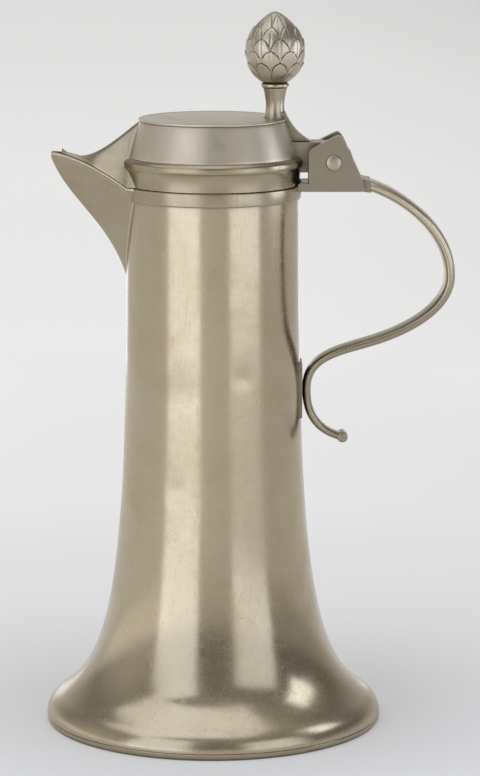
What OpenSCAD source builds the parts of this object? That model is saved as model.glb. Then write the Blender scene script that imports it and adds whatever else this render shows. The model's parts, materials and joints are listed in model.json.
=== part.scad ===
// Claret jug: a waisted metal jug on a trumpet foot, with a covered beak spout,
// a hinged lid with a bud thumbpiece, and a strap handle that ends in a curled tail.
// Millimetres. The origin is the centre of the circle that the foot stands on.
// +Z is up, the spout points along -X and the handle along +X.

/* [Body] */
// Outer radius of the straight neck, below the mouth band
neck_r = 40.3; // [37:0.25:43]
// Height of the mouth, where the lid closes
mouth_z = 257.5; // [245:0.5:275]
// How much the slow widening adds to the radius, if carried down to the table
swell_r = 29; // [24:0.5:33]
// Height over which the slow widening fades by a factor of 2.7
swell_h = 50; // [40:1:55]
// Thickness of the sheet metal of body and foot
wall_t = 1.6; // [1.2:0.1:2]
// Height of the joint between the body and the foot skirt
split_z = 60; // [50:1:75]
// Thickness of the disc that closes the vessel at the bottom
floor_t = 1.8; // [1.2:0.1:3]
// Height of the band round the mouth
mouth_band_h = 6.5; // [5:0.5:10]
// Thickness of the band round the mouth
mouth_band_t = 1.2; // [0.8:0.1:1.6]

/* [Foot] */
// Radius of the foot at its widest
foot_r = 80; // [76:0.5:85]
// Height over which the sharp flare fades by a factor of 2.7
flare_h = 11.5; // [10:0.5:14]
// Height of the rounded rim
foot_rim_h = 13; // [10:0.5:15]
// How far the rim bulges out past the skirt that it carries
foot_rim_bulge = 6.2; // [4:0.25:7]
// Height of the rim's widest point
foot_edge_z = 3; // [2:0.25:4]
// Thickness of the rim
foot_rim_t = 2.2; // [1.8:0.1:3]
// Width of the flat ring that touches the table
foot_seat_w = 3.8; // [3:0.2:6]

/* [Spout] */
// Distance of the spout's tip from the jug's axis
spout_reach = 75.5; // [68:0.5:82]
// How far the tip stands above the mouth
spout_lift = 15.2; // [10:0.5:17]
// Depth of the trough at the tip
spout_tip_depth = 3.2; // [2.6:0.1:5]
// Half the width of the spout at its tip
spout_tip_w = 2.8; // [2.5:0.1:4]
// How much the spout widens on each side, per length, towards the body
spout_spread = 0.43; // [0.36:0.01:0.47]
// How far below the mouth the keel leaves the body
spout_drop = 56; // [46:1:66]
// Thickness of the spout's sheet, measured across the jug
spout_t = 1.3; // [1:0.1:1.5]
// Height of the strengthening lip on the spout's edges
spout_lip_h = 1.8; // [1.4:0.1:2.4]
// How far the lip stands out on each side of the sheet
spout_lip_out = 0.5; // [0.3:0.1:0.7]

/* [Lid] */
// Gap between the lid and what it closes on
lid_gap = 0.3; // [0.25:0.05:0.5]
// Radius of the lid's rim band at its bead
lid_rim_r = 42.8; // [42:0.1:43]
// Radius of the rim band's lower edge
lid_foot_r = 40.8; // [40:0.1:41.4]
// Height of the lid's rim band
lid_rim_h = 13; // [11:0.5:14.5]
// Height of the bead at the top of the rim band
lid_bead = 4.2; // [3:0.1:5]
// Height of the sloping side above the rim band
lid_side_h = 16.5; // [14:0.5:20]
// Radius at the foot of the sloping side
lid_side_r = 40.2; // [39:0.2:41]
// Radius of the flat top
lid_top_r = 34.2; // [31:0.2:36]
// Rise of the top's shallow dome
lid_dome_h = 1.5; // [0.8:0.1:2.5]
// Thickness of the lid's sheet metal
lid_t = 1.5; // [1.2:0.1:2]
// Depth of the locating ring inside the mouth
bezel_h = 3.6; // [2.5:0.1:4.5]
// Thickness of the locating ring
bezel_t = 1.4; // [1.1:0.1:1.8]
// Radial clearance of the locating ring in the mouth
bezel_gap = 1.1; // [0.9:0.1:1.6]

/* [Tongue] */
// How far the tongue's end stops short of the spout's tip
tongue_short = 5; // [3:0.5:8]
// Height of the tongue's end above the spout's edge under it
tongue_end_h = 2; // [1.7:0.1:3]
// How far the tongue's ridge dips in the middle, towards the spout
tongue_dip = 8; // [5:0.5:9]
// How far outside the tongue's middle its ridge dips most
tongue_dip_out = 8; // [6:0.5:10]
// How far inside the tongue's middle its ridge levels out
tongue_knee_in = 5; // [3:0.5:7]
// How far below the lid's top the ridge levels out
tongue_knee_drop = 10; // [8:0.5:12]
// Thickness of the tongue's roof
tongue_t = 1.3; // [1:0.1:1.6]

/* [Hinge] */
// Distance of the hinge pin from the jug's axis
pin_x = 56.5; // [55:0.5:60]
// Height of the hinge pin above the mouth
pin_up = 11; // [10.5:0.5:13]
// Radius of the hinge pin
pin_r = 2; // [1.5:0.1:2.5]
// Running clearance of the pin in the lid's knuckle, on the radius
pin_clearance = 0.06; // [0.02:0.01:0.1]
// Clearance of the pin where it is driven into the ears, on the radius
pin_drive_gap = 0.01; // [0.01:0.005:0.02]
// Radius of the knuckle on the lid's leaf
knuckle_r = 9.2; // [8:0.2:9.6]
// Half the width of the leaf and its knuckle
leaf_w = 6.6; // [5:0.2:8]
// Side gap between the knuckle and each ear
ear_gap = 0.35; // [0.3:0.05:0.6]
// Thickness of each ear
ear_t = 5; // [3.5:0.25:6]
// Height of the ears' peak above the pin
ear_peak_h = 12.8; // [11:0.2:13.2]
// Distance of the ears' peak behind the pin
ear_peak_x = 2.6; // [1:0.2:4]
// Height of the ears' front corner above the pin
ear_front_h = 6.8; // [4:0.2:8]
// Distance of the ears' front edge in front of the pin
ear_front_x = 11.6; // [10:0.2:12]
// Thickness of the bracket's floor under the knuckle
bracket_t = 3.6; // [3:0.2:4.4]
// Length of the bracket behind the pin, up to the strap
bracket_back = 17.5; // [16:0.5:20]
// How far the pin's riveted heads stand out of the ears
pin_head_h = 1.3; // [0.8:0.1:2]
// Radius of the pin's riveted heads
pin_head_r = 3.6; // [3:0.1:4.5]

/* [Thumbpiece] */
// Distance of the thumbpiece's middle in from the edge of the flat top
thumb_in = 5; // [4:0.2:8]
// Height of the turned stem
stem_h = 14; // [10:0.5:17]
// Radius of the stem at its neck
stem_r = 4.8; // [3.8:0.1:5.2]
// Height of the collar under the bud
collar_h = 2.6; // [2:0.1:4]
// Radius of the collar under the bud
collar_r = 6.6; // [6:0.1:8]
// Largest radius of the bud
bud_r = 14.3; // [11:0.1:15]
// Height of the bud, from its collar to its tip
bud_h = 33; // [26:0.5:37]
// Thickness of the web that braces the stem on the leaf
web_t = 8; // [5:0.5:8]
// How far the web climbs the stem
web_up = 3; // [1:0.25:4]
// How far the web reaches out along the leaf, from the thumbpiece's middle
web_reach = 17; // [15:0.5:18]

/* [Handle] */
// Width of the strap at the hinge
strap_w = 18; // [15:0.5:20]
// Width of the strap at its tail
strap_tail_w = 9; // [7:0.5:12]
// Thickness of the strap at the hinge
strap_t = 5.6; // [4.6:0.1:6.2]
// Thickness of the strap at its tail
strap_tail_t = 3.6; // [3:0.1:4.4]
// Distance of the strap's outermost point from the jug's axis
handle_reach = 111.7; // [104:0.5:120]
// How far below the mouth the strap reaches furthest out
handle_belly_drop = 43.5; // [38:0.5:48]
// How far below the mouth the strap turns in towards the body
handle_turn_drop = 74; // [66:0.5:80]
// How far out from its seat the strap turns in
handle_turn_out = 32.4; // [29:0.2:36]
// How far below the mouth the strap is fixed to the body
handle_seat_drop = 97.5; // [90:0.5:106]
// How far the curled tail stands out from its seat on the body
tail_out = 18; // [14:0.5:22]
// How far the tail hangs below the strap's seat
tail_drop = 23.4; // [20:0.2:27]
// Thickness of the pad between the strap and the body
pad_t = 0.8; // [0.6:0.1:1.5]
// Height of the pad
pad_h = 26; // [20:1:32]
// Width of the pad
pad_w = 17; // [13:0.5:20]

/* [Hidden] */
$fn = 120;

silver = [0.74, 0.71, 0.64];
dark_silver = [0.56, 0.53, 0.46];
pin_steel = [0.62, 0.6, 0.56];
cut = 1; // overshoot of a cutting solid past the face that it opens
solder_gap = 0.03; // film of solder between the body and what is fixed round it

// The trumpet: a straight neck plus a slow widening plus a sharp flare that meets the foot rim
skirt_foot_r = foot_r - foot_rim_bulge;
flare_r = (skirt_foot_r - neck_r - swell_r * exp(-foot_rim_h / swell_h)) / exp(-foot_rim_h / flare_h);
function trumpet_r(z) = neck_r + swell_r * exp(-z / swell_h) + flare_r * exp(-z / flare_h);
function trumpet_slope(z) = swell_r / swell_h * exp(-z / swell_h) + flare_r / flare_h * exp(-z / flare_h);
function inner_r(z) = trumpet_r(z) - wall_t * sqrt(1 + pow(trumpet_slope(z), 2));
function steps(from, to, count) = [for (i = [0 : count]) from + (to - from) * i / count];
function reversed(list) = [for (i = [len(list) - 1 : -1 : 0]) list[i]];
// Points on a curve with one control point, and with two
function bend2(a, b, c, count) =
    [for (t = steps(0, 1, count)) pow(1 - t, 2) * a + 2 * t * (1 - t) * b + t * t * c];
function bend3(a, b, c, d, t) =
    pow(1 - t, 3) * a + 3 * t * pow(1 - t, 2) * b + 3 * t * t * (1 - t) * c + pow(t, 3) * d;

mouth_band_r = trumpet_r(mouth_z) + mouth_band_t;
mouth_inner_r = inner_r(mouth_z);
lid_z = mouth_z + lid_gap;
lid_side_z = lid_z + lid_rim_h;
lid_top_z = lid_side_z + lid_side_h;
pin_z = mouth_z + pin_up;

// Solids of revolution ------------------------------------------------------

body_steps = 30; // straight steps in the body's outline

// The wall between two heights, as a closed outline
module trumpet_wall(low_z, high_z, count) {
    heights = steps(low_z, high_z, count);
    rotate_extrude() polygon(concat(
        [for (z = heights) [trumpet_r(z), z]], reversed([for (z = heights) [inner_r(z), z]])));
}

// Everything inside the outside of the body: what is fixed to the body is cut back to it
module body_core() {
    rotate_extrude() polygon(concat([[0, split_z]],
        [for (z = steps(split_z, mouth_z, body_steps)) [trumpet_r(z) + solder_gap, z]], [[0, mouth_z]]));
}

// The lid's outline: a flared band under a bead, then the sloping side, then the top's edge
bead_low_z = lid_z + lid_rim_h - lid_bead - 0.6;
lid_band = concat(
    bend2([lid_foot_r, lid_z], [lid_foot_r + 0.2, bead_low_z - 1.5], [lid_rim_r - 0.6, bead_low_z], 8),
    [[lid_rim_r, bead_low_z + 0.7], [lid_rim_r, lid_side_z - 1.8], [lid_rim_r - 0.7, lid_side_z - 0.9],
        [lid_side_r + 0.5, lid_side_z]]);
lid_edge_t = lid_t * 0.8;
function lid_dome_z(r) = lid_top_z + lid_edge_t * 0.6 + lid_dome_h * (1 - pow(r / lid_top_r, 2));
lid_crown = concat(
    [[lid_top_r, lid_top_z], [lid_top_r + 0.6, lid_top_z + lid_edge_t * 0.4],
        [lid_top_r + 0.3, lid_top_z + lid_edge_t]],
    [for (r = steps(lid_top_r - 1, 0, 12)) [r, lid_dome_z(r)]]);

// Everything inside the outside of the lid: what is fixed to the lid is cut back to it
module lid_core() {
    rotate_extrude() polygon(concat([[0, lid_z]], lid_band, [[lid_side_r, lid_side_z]], lid_crown));
}

module body_shell() {
    color(silver) difference() {
        trumpet_wall(split_z, mouth_z, body_steps);
        spout_fill(spout_t);
    }
}

module vessel_floor() {
    edge_gap = 0.03;
    top_z = split_z + floor_t;
    color(dark_silver) rotate_extrude()
        polygon([[0, split_z], [inner_r(split_z) - edge_gap, split_z],
            [inner_r(top_z) - edge_gap, top_z], [0, top_z]]);
}

module foot_skirt() {
    color(silver) trumpet_wall(foot_rim_h, split_z, 24);
}

module foot_rim() {
    corner_z = foot_rim_h - foot_rim_bulge / trumpet_slope(foot_rim_h);
    inside_r = foot_r - foot_rim_t;
    seat_r = foot_r - 0.8;
    color(silver) rotate_extrude() polygon(concat(
        bend2([skirt_foot_r, foot_rim_h], [foot_r, corner_z], [foot_r, foot_edge_z], 10),
        [[foot_r - 0.2, 1], [seat_r, 0], [seat_r - foot_seat_w, 0], [seat_r - foot_seat_w, 1.8],
            [inside_r, foot_edge_z]],
        bend2([inside_r, foot_edge_z], [inside_r, corner_z],
            [inner_r(foot_rim_h), foot_rim_h], 10)));
}

module mouth_band() {
    low_z = mouth_z - mouth_band_h;
    root_r = neck_r - 0.5; // inside the body, which the band is cut back to
    edge = 0.7;
    color(silver) difference() {
        rotate_extrude() polygon([[root_r, low_z], [mouth_band_r - edge, low_z],
            [mouth_band_r, low_z + edge], [mouth_band_r, mouth_z - edge],
            [mouth_band_r - edge, mouth_z], [root_r, mouth_z]]);
        body_core();
        spout_fill(0);
    }
}

// Spout ---------------------------------------------------------------------
// The trough is drawn as ribs. Rib 0 is inside the body and the last rib is the tip.

spout_ribs = 16;
rib_sides = 16; // steps from one edge, round the keel, to the other
keel_round = 0.28; // 0 is a sharp keel
edge_start_x = 30; // where the edges begin, inside the body
rise_start_x = mouth_band_r - 2; // the edges rise from here, clear of the lid
function spout_half_w(x) = spout_tip_w + (spout_reach - x) * spout_spread;
// Height of the spout's edge at distance x from the axis
function edge_z(x) = mouth_z + spout_lift * (1 - pow(1 - rise_share(x), 1.6));
function rise_share(x) = max(0, (x - rise_start_x) / (spout_reach - rise_start_x));
// Distance from the axis and height of the keel, t = 0 at the root and 1 at the tip
function keel(t, raise) = bend3(
    [neck_r - 2.5, mouth_z - spout_drop], [neck_r + 3.5, mouth_z - spout_drop * 0.35],
    [spout_reach - 9.5, mouth_z - spout_drop * 0.2],
    [spout_reach, edge_z(spout_reach) - spout_tip_depth], t) + raise * [-0.6, 0.8];
function edge_x(t) = edge_start_x + (spout_reach - edge_start_x) * t;
// 0 on the keel and 1 at the edges, with the keel rounded
function vee(u) = (sqrt(u * u + keel_round * keel_round) - keel_round)
    / (sqrt(1 + keel_round * keel_round) - keel_round);
// One rib: inset moves it inwards, top is what is taken off the edges' height
function rib(t, inset, top) = [for (i = [0 : rib_sides])
    let (u = 2 * i / rib_sides - 1, k = keel(t, inset), x = edge_x(t))
    [-(k[0] + (x - k[0]) * vee(u)), u * (spout_half_w(x) - inset), k[1] + (edge_z(x) - top - k[1]) * vee(u)]];

// Skin between closed rings of the same number of points
function skin_faces(rings, sides) = [for (i = [0 : rings - 2]) for (j = [0 : sides - 1])
    let (a = i * sides + j, b = i * sides + (j + 1) % sides)
    for (face = [[a, b, b + sides], [a, b + sides, a + sides]]) face];
// End faces of rings that run out along one line and back along another
function strip_faces(first, sides, flip) = [for (j = [0 : sides / 2 - 2])
    let (a = first + j, b = first + sides - 1 - j)
    for (face = flip ? [[a, b, b - 1], [a, b - 1, a + 1]] : [[a, b - 1, b], [a, a + 1, b - 1]]) face];
module skin(rings) {
    count = len(rings);
    sides = len(rings[0]);
    polyhedron([for (ring = rings) for (point = ring) point],
        concat(skin_faces(count, sides), strip_faces(0, sides, true),
            strip_faces((count - 1) * sides, sides, false)));
}

// The trough filled up, to open the wall behind it or to end the band beside it
module spout_fill(inset) {
    top_z = mouth_z + 2 * spout_lift;
    skin([for (t = steps(0, 1, spout_ribs))
        let (low = rib(t, inset, spout_lip_h)) concat(low, reversed([for (p = low) [p[0], p[1], top_z]]))]);
}

module spout_beak() {
    color(silver) difference() {
        skin([for (t = steps(0, 1, spout_ribs))
            concat(rib(t, 0, spout_lip_h), reversed(rib(t, spout_t, spout_lip_h)))]);
        body_core();
    }
}

// The lip: a bar on each of the spout's edges, flat below where it sits on the sheet
module spout_lip() {
    outer = spout_lip_out;
    inner = -spout_t - spout_lip_out;
    color(silver) difference() {
        for (side = [-1, 1]) skin([for (t = steps(0, 1, spout_ribs))
            let (x = edge_x(t), w = spout_half_w(x), z = edge_z(x),
                ring = [[outer - 0.2, -spout_lip_h], [outer, -spout_lip_h * 0.7], [outer, -0.4],
                    [outer - 0.4, 0], [inner + 0.4, 0], [inner, -0.4], [inner, -spout_lip_h * 0.7],
                    [inner + 0.2, -spout_lip_h]])
            [for (p = side < 0 ? reversed(ring) : ring) [-x, side * (w + p[0]), z + p[1]]]]);
        cylinder(r = mouth_band_r, h = 2 * mouth_z);
    }
}

// Lid -----------------------------------------------------------------------

module lid_rim_band() {
    inside_r = lid_side_r - lid_t;
    color(silver) rotate_extrude() polygon(concat(lid_band, [[inside_r, lid_side_z], [inside_r, lid_z]]));
}

module lid_side() {
    color(silver) rotate_extrude() polygon([[lid_side_r, lid_side_z], [lid_top_r, lid_top_z],
        [lid_top_r - lid_t, lid_top_z], [lid_side_r - lid_t, lid_side_z]]);
}

module lid_top() {
    color(silver) rotate_extrude() polygon(concat([[0, lid_top_z]], lid_crown));
}

// A ring inside the mouth that keeps the lid in place, cut away in front of the spout
module lid_bezel() {
    outer_r = mouth_inner_r - bezel_gap;
    carrier_r = lid_side_r - lid_t;
    carrier_z = lid_z + 2;
    taper = 0.5;
    opening_w = spout_half_w(mouth_inner_r) - spout_t;
    color(dark_silver) difference() {
        rotate_extrude() polygon([[outer_r - bezel_t, carrier_z], [carrier_r, carrier_z], [carrier_r, lid_z],
            [outer_r, lid_z], [outer_r - taper, lid_z - bezel_h], [outer_r - bezel_t, lid_z - bezel_h]]);
        translate([-2 * lid_rim_r, -opening_w, lid_z - bezel_h - cut])
            cube([2 * lid_rim_r, 2 * opening_w, bezel_h + carrier_z - lid_z + 2 * cut]);
    }
}

// The tongue: a roof over the spout, from the lid's side to near the spout's tip
tongue_ribs = 14;
ridge_round = 0.22; // 0 is a sharp ridge
tongue_start_x = lid_top_r - 1;
tongue_reach = spout_reach - tongue_short;
tongue_mid_x = (tongue_start_x + tongue_reach) / 2;
function tongue_floor(x) = edge_z(x) + lid_gap;
function ridge(t) = bend3(
    [tongue_start_x, lid_top_z + 0.6], [tongue_mid_x - tongue_knee_in, lid_top_z - tongue_knee_drop],
    [tongue_mid_x + tongue_dip_out, tongue_floor(tongue_reach) - tongue_dip],
    [tongue_reach, tongue_floor(tongue_reach) + tongue_end_h], t);
function roof(u) = (sqrt(u * u + ridge_round * ridge_round) - ridge_round)
    / (sqrt(1 + ridge_round * ridge_round) - ridge_round);
function tongue_rib(t, inset, lower) = [for (i = [0 : rib_sides])
    let (u = 2 * i / rib_sides - 1, r = ridge(t), low = tongue_floor(r[0]))
    [-r[0], u * (spout_half_w(r[0]) - inset), r[1] - lower - (r[1] - lower - low) * roof(u)]];

module lid_tongue() {
    color(silver) difference() {
        skin([for (t = steps(0, 1, tongue_ribs))
            concat(reversed(tongue_rib(t, 0, 0)), tongue_rib(t, spout_t, tongue_t))]);
        lid_core();
    }
}

// Hinge ---------------------------------------------------------------------

// Turns an outline drawn in X and Z into a plate across the jug, from low_y to high_y
module across(low_y, high_y) {
    translate([0, high_y, 0]) rotate([90, 0, 0]) linear_extrude(height = high_y - low_y) children();
}
module pin_hole(clearance) {
    across(-2 * ear_out, 2 * ear_out) translate([pin_x, pin_z]) circle(r = pin_r + clearance);
}
ear_in = leaf_w + ear_gap;
ear_out = ear_in + ear_t;
bracket_top_z = pin_z - knuckle_r - 0.7; // the knuckle turns clear of the floor
bracket_low_z = bracket_top_z - bracket_t;
bracket_end_x = pin_x + bracket_back;
strap_low_z = bracket_low_z - 0.8;
strap_top_z = strap_low_z + strap_t;

// A floor soldered to the mouth band, two wedge-shaped ears, and a tail as wide as the strap
module hinge_bracket() {
    front_x = mouth_band_r - 4; // inside the mouth band, which the floor is cut back to
    ear_x = pin_x - ear_front_x;
    peak_x = pin_x + ear_peak_x;
    peak_z = pin_z + ear_peak_h;
    color(dark_silver) difference() {
        union() {
            across(-ear_out, ear_out) polygon([[front_x, bracket_low_z], [bracket_end_x - 8, bracket_low_z],
                [bracket_end_x - 5, bracket_top_z], [front_x, bracket_top_z]]);
            across(-strap_w / 2, strap_w / 2) polygon([[pin_x, bracket_low_z],
                [bracket_end_x - 6, bracket_low_z], [bracket_end_x, strap_low_z],
                [bracket_end_x, strap_top_z], [bracket_end_x - 5, strap_top_z + 1],
                [pin_x + knuckle_r, bracket_top_z], [pin_x, bracket_top_z]]);
            for (low_y = [-ear_out, ear_in]) across(low_y, low_y + ear_t)
                polygon([[ear_x, bracket_low_z], [ear_x, pin_z + ear_front_h - 1.2],
                    [ear_x + 1.4, pin_z + ear_front_h], [peak_x - 2.6, peak_z - 0.9],
                    [peak_x - 0.9, peak_z], [peak_x + 0.7, peak_z - 0.3], [peak_x + 2, peak_z - 2],
                    [bracket_end_x - 4, bracket_top_z + 1.5], [bracket_end_x - 3, bracket_low_z]]);
        }
        pin_hole(pin_drive_gap);
        cylinder(r = mouth_band_r, h = 2 * mouth_z);
    }
}

module hinge_pin() {
    half = ear_out + pin_head_h;
    color(pin_steel) translate([pin_x, 0, pin_z]) rotate([90, 0, 0]) rotate_extrude()
        polygon([[0, -half], [pin_head_r * 0.6, -half], [pin_head_r, -ear_out - pin_head_h * 0.35],
            [pin_head_r, -ear_out], [pin_r, -ear_out], [pin_r, ear_out], [pin_head_r, ear_out],
            [pin_head_r, ear_out + pin_head_h * 0.35], [pin_head_r * 0.6, half], [0, half]]);
}

leaf_low_z = pin_z - 5;
leaf_top_z = pin_z + knuckle_r;
module hinge_leaf() {
    color(dark_silver) difference() {
        union() {
            across(-leaf_w, leaf_w) translate([pin_x, pin_z]) circle(r = knuckle_r);
            across(-leaf_w, leaf_w) polygon([[lid_top_r, leaf_low_z], [pin_x, leaf_low_z],
                [pin_x, leaf_top_z], [lid_top_r, leaf_top_z]]);
        }
        pin_hole(pin_clearance);
        lid_core();
    }
}

// Thumbpiece ----------------------------------------------------------------

thumb_x = lid_top_r - thumb_in;
stem_z = lid_top_z + lid_edge_t;
collar_z = stem_z + stem_h;
bud_z = collar_z + collar_h;

// Web that runs from the stem down the lid's sloping side to the leaf
module thumb_web() {
    web_start_x = thumb_x + 2; // inside the stem, which the web is cut back to
    color(dark_silver) difference() {
        across(-web_t / 2, web_t / 2) polygon(concat(
            [[web_start_x, leaf_top_z], [web_start_x, stem_z + web_up]],
            bend2([thumb_x + stem_r, stem_z + web_up], [thumb_x + web_reach * 0.53, leaf_top_z + 4],
                [thumb_x + web_reach, leaf_top_z], 6)));
        lid_core();
        thumb_stem();
    }
}

module thumb_stem() {
    foot = stem_r + 0.3;
    seat = 0.5; // the stem is cut back to the domed top below it
    color(silver) difference() {
        translate([thumb_x, 0, stem_z]) rotate_extrude()
            polygon(concat([[0, -seat], [foot, -seat]],
                bend2([foot, 0], [stem_r - 1, stem_h * 0.35], [stem_r, stem_h * 0.7], 8),
                [[stem_r + 0.9, stem_h], [0, stem_h]]));
        lid_core();
    }
}

module thumb_collar() {
    color(silver) translate([thumb_x, 0, collar_z]) rotate_extrude()
        polygon([[0, 0], [collar_r - 1, 0], [collar_r, collar_h * 0.35], [collar_r, collar_h * 0.65],
            [collar_r - 0.8, collar_h], [0, collar_h]]);
}

// The bud swells quickly from its collar and closes to a blunt point
module thumb_bud() {
    waist_z = bud_h * 0.47;
    color(silver) translate([thumb_x, 0, bud_z]) rotate_extrude()
        polygon(concat([[0, 0]],
            bend2([bud_r * 0.4, 0], [bud_r, bud_h * 0.1], [bud_r, waist_z], 12),
            bend2([bud_r, waist_z], [bud_r, bud_h * 0.74], [bud_r * 0.2, bud_h * 0.97], 12),
            [[0, bud_h]]));
}

// Handle --------------------------------------------------------------------
// The strap's centre line, as distances from the axis and heights: out from the
// bracket, round to the belly, in to the seat on the body, and out into the tail.

seat_z = mouth_z - handle_seat_drop;
seat_x = trumpet_r(seat_z) + pad_t + seat_t() / 2;
turn_x = seat_x + handle_turn_out;
belly_z = mouth_z - handle_belly_drop;
turn_z = mouth_z - handle_turn_drop;
strap_start = [bracket_end_x, strap_top_z - strap_t / 2];
// How far the curves' control points stand from the points where the curves meet
start_pull_out = 13;
start_pull_down = 4;
belly_pull_up = 23.5;
belly_pull_down = 13;
turn_pull_out = 20;
turn_pull_up = 6.5;
turn_pull_in = 16;
turn_pull_down = 5.2;
seat_pull_up = 16.5;
seat_pull_down = 13;
tail_pull_out = 5.5;
tail_pull_up = 3;
strap_curves = [
    [strap_start, strap_start + [start_pull_out, -start_pull_down],
        [handle_reach, belly_z + belly_pull_up], [handle_reach, belly_z]],
    [[handle_reach, belly_z], [handle_reach, belly_z - belly_pull_down],
        [turn_x + turn_pull_out, turn_z + turn_pull_up], [turn_x, turn_z]],
    [[turn_x, turn_z], [turn_x - turn_pull_in, turn_z - turn_pull_down],
        [seat_x, seat_z + seat_pull_up], [seat_x, seat_z]],
    [[seat_x, seat_z], [seat_x, seat_z - seat_pull_down],
        [seat_x + tail_pull_out, seat_z - tail_drop + tail_pull_up],
        [seat_x + tail_out, seat_z - tail_drop]]];
rings_per_curve = 12;
strap_sides = 12;
function strap_share(i) = i / (len(strap_curves) * rings_per_curve);
function strap_point(i) =
    let (n = min(floor(i / rings_per_curve), len(strap_curves) - 1), c = strap_curves[n])
    bend3(c[0], c[1], c[2], c[3], i / rings_per_curve - n);
// Thickness falls evenly from the hinge to the tail
function strap_t_at(share) = strap_t + (strap_tail_t - strap_t) * share;
function strap_w_at(share) = strap_w + (strap_tail_w - strap_w) * share;
function seat_t() = strap_t_at(0.75);
function strap_ring(i) =
    let (share = strap_share(i), p = strap_point(i),
        d = i == 0 ? [1, 0] : strap_point(i + 0.1) - strap_point(i - 0.1), n = [-d[1], d[0]] / norm(d),
        t = strap_t_at(share) / 2, w = strap_w_at(share) / 2)
    [for (j = [0 : strap_sides - 1])
        let (a = -360 * (j + 0.5) / strap_sides,
            across_n = squarish(sin(a)) * t, across_y = squarish(cos(a)) * w)
        [p[0] + n[0] * across_n, across_y, p[1] + n[1] * across_n]];
function squarish(v) = sign(v) * pow(abs(v), 0.6);

module handle_strap() {
    last = len(strap_curves) * rings_per_curve;
    rings = [for (i = [0 : last]) strap_ring(i)];
    color(silver) polyhedron([for (ring = rings) for (point = ring) point],
        concat(skin_faces(last + 1, strap_sides),
            [[for (j = [strap_sides - 1 : -1 : 0]) j]],
            [[for (j = [0 : strap_sides - 1]) last * strap_sides + j]]));
}

module handle_pad() {
    root_x = neck_r - 8; // inside the body, which the pad is cut back to
    color(dark_silver) difference() {
        translate([root_x, -pad_w / 2, seat_z - pad_h / 2])
            cube([trumpet_r(seat_z) + pad_t - root_x, pad_w, pad_h]);
        body_core();
    }
}

body_shell();
vessel_floor();
foot_skirt();
foot_rim();
mouth_band();
spout_beak();
spout_lip();
hinge_bracket();
hinge_pin();
handle_strap();
handle_pad();
lid_rim_band();
lid_side();
lid_top();
lid_bezel();
lid_tongue();
hinge_leaf();
thumb_web();
thumb_stem();
thumb_collar();
thumb_bud();
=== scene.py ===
# %% [markdown]
# # A claret jug with a hinged lid
# This lesson dresses a tall silver jug, piece by piece, for a close look from any side.
# The pieces already exist as plain solids at their real size, and those solids say where
# everything goes. Here each one is made again as a fine mesh with a silversmith's eye for
# edges, curves and wear. We load the solids first, because their sizes set the sizes of the
# new pieces. The finished jug has to stay inside it.

# %% Load the plain solids
import json
import math

import bmesh
import bpy
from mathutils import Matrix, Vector, noise


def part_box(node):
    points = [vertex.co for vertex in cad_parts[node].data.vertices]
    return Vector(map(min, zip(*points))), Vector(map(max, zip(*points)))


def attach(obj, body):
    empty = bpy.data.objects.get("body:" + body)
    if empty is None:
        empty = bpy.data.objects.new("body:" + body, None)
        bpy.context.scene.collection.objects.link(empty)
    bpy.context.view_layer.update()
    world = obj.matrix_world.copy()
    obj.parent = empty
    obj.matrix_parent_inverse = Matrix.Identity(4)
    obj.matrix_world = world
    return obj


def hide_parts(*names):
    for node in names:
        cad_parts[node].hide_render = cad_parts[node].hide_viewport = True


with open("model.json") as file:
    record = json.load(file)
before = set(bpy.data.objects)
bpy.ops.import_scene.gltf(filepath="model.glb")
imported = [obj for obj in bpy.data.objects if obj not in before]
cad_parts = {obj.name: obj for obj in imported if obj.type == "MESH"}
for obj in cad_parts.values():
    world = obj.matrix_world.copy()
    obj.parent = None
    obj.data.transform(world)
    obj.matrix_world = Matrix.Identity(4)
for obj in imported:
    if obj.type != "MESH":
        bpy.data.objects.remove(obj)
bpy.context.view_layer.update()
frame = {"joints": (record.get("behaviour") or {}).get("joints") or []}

MM = 0.001  # lengths below are in millimetres, and Blender works in metres


def low(node):
    """The lowest corner of a plain solid, in millimetres."""
    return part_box(node)[0] / MM


def high(node):
    """The highest corner of a plain solid, in millimetres."""
    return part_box(node)[1] / MM


# %% [markdown]
# ## The eye
# The picture is taken with a long lens from a little above the jug, which keeps the sides
# almost parallel and still shows the top of the foot. Setting the camera first lets us look
# at every new piece as we make it. The tilt is measured from the ellipse of the foot: the
# rounder that ellipse, the higher the camera.

# %% Set up the camera
eye_tilt = 10.17  # degrees below level
eye_place = (12.85, -1600, 447.1)
eye = bpy.data.objects.new("eye", bpy.data.cameras.new("eye"))
eye.location = Vector(eye_place) * MM
eye.rotation_euler = (math.radians(90 - eye_tilt), 0, 0)
eye.data.lens = 159.02
eye.data.sensor_width = 36
bpy.context.scene.collection.objects.link(eye)
bpy.context.scene.camera = eye
print("the eye is", round(-eye_place[1]), "mm in front of the jug")

# %% [markdown]
# ## Curves drawn by rule
# A silversmith draws a shape with few marks: where a curve starts, where it ends, and which
# way it leaves. `bend` is that idea in code, a curve pulled towards one or two points.
# `soften` eases the corners of an outline, since no worn metal edge is perfectly sharp. A
# bevel on the finished mesh could do the same, but easing the drawing keeps round pieces tidy.

# %% Curve helpers
def steps(start, end, count):
    """Evenly spaced numbers, both ends included."""
    return [start + (end - start) * i / count for i in range(count + 1)]


def bend(points, t):
    """A point on the curve that starts at the first point and ends at the last."""
    while len(points) > 1:
        points = [a.lerp(b, t) for a, b in zip(points, points[1:])]
    return points[0]


def curve(points, count):
    """The whole bend, as a row of points."""
    points = [Vector(p) for p in points]
    return [bend(points, t) for t in steps(0, 1, count)]


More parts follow.
